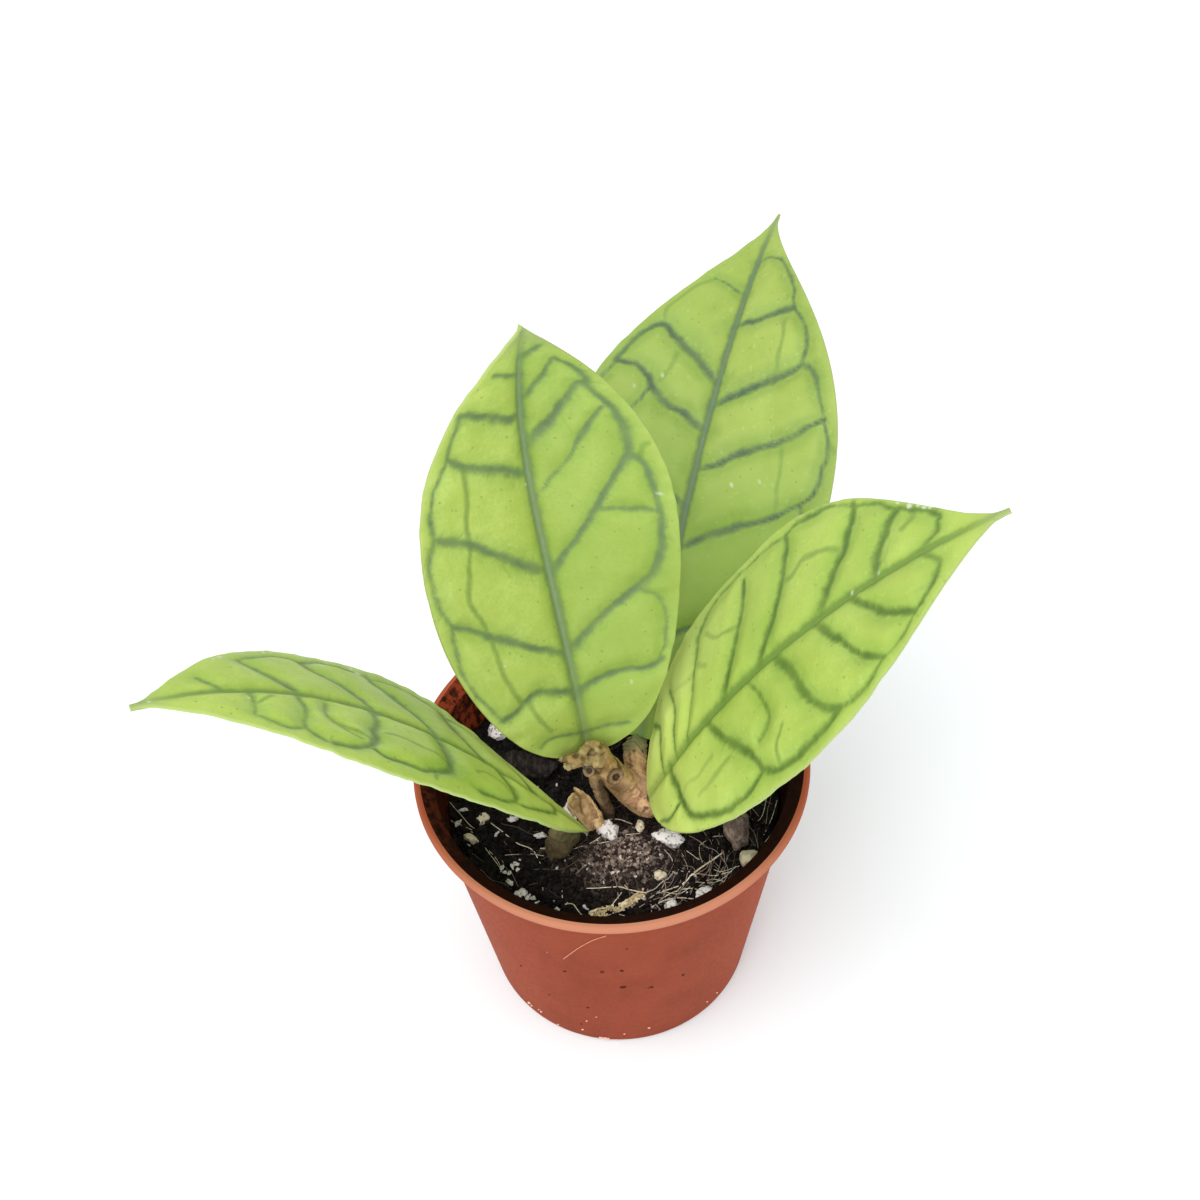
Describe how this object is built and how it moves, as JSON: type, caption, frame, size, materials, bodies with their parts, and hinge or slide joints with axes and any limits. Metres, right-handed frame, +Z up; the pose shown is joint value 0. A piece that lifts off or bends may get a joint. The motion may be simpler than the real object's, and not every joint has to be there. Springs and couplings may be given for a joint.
{
  "type": "potted hoya plant",
  "caption": "Young succulent vine with large veined leaves, rooted from a woody cutting in a small tapered plastic nursery pot filled with dark soil.",
  "frame": {"origin": "centre of the underside of the pot, at the level it stands on", "axes": "+Z up along the pot's axis, +X to the right and +Y away from the viewer of the picture"},
  "size_m": [0.12, 0.1207, 0.1465],
  "materials": {
    "pot_plastic": "moulded, terracotta-coloured, satin",
    "peat_soil": "rough, dark, fibrous peat mix",
    "stem_bark": "tan, gnarled, corky",
    "shoot_olive": "olive-brown, fleshy",
    "dry_husk": "dry, papery",
    "leaf_green": "waxy, light yellow-green with darker sunk veins",
    "perlite": "white, porous",
    "grit": "cream, smooth",
    "bark": "grey-brown, rough",
    "root": "pale, thin, dry"
  },
  "bodies": {
    "root": {"pot": "pot_plastic", "soil": "peat_soil", "stem": "stem_bark", "side_shoot": "shoot_olive", "dry_bract": "dry_husk", "leaf_a": "leaf_green", "leaf_b": "leaf_green", "leaf_c": "leaf_green", "leaf_d": "leaf_green", "perlite_middle": "perlite", "perlite_flat": "perlite", "perlite_chip": "perlite", "perlite_far": "perlite", "perlite_right": "perlite", "perlite_front": "perlite", "perlite_left": "perlite", "shard_cream": "grit", "grit_middle": "grit", "grit_left": "grit", "grit_edge": "grit", "pebble": "grit", "bark_chip": "bark", "bark_slab": "bark", "root_front": "root", "root_frayed": "root", "root_left": "root"}
  },
  "joints": []
}
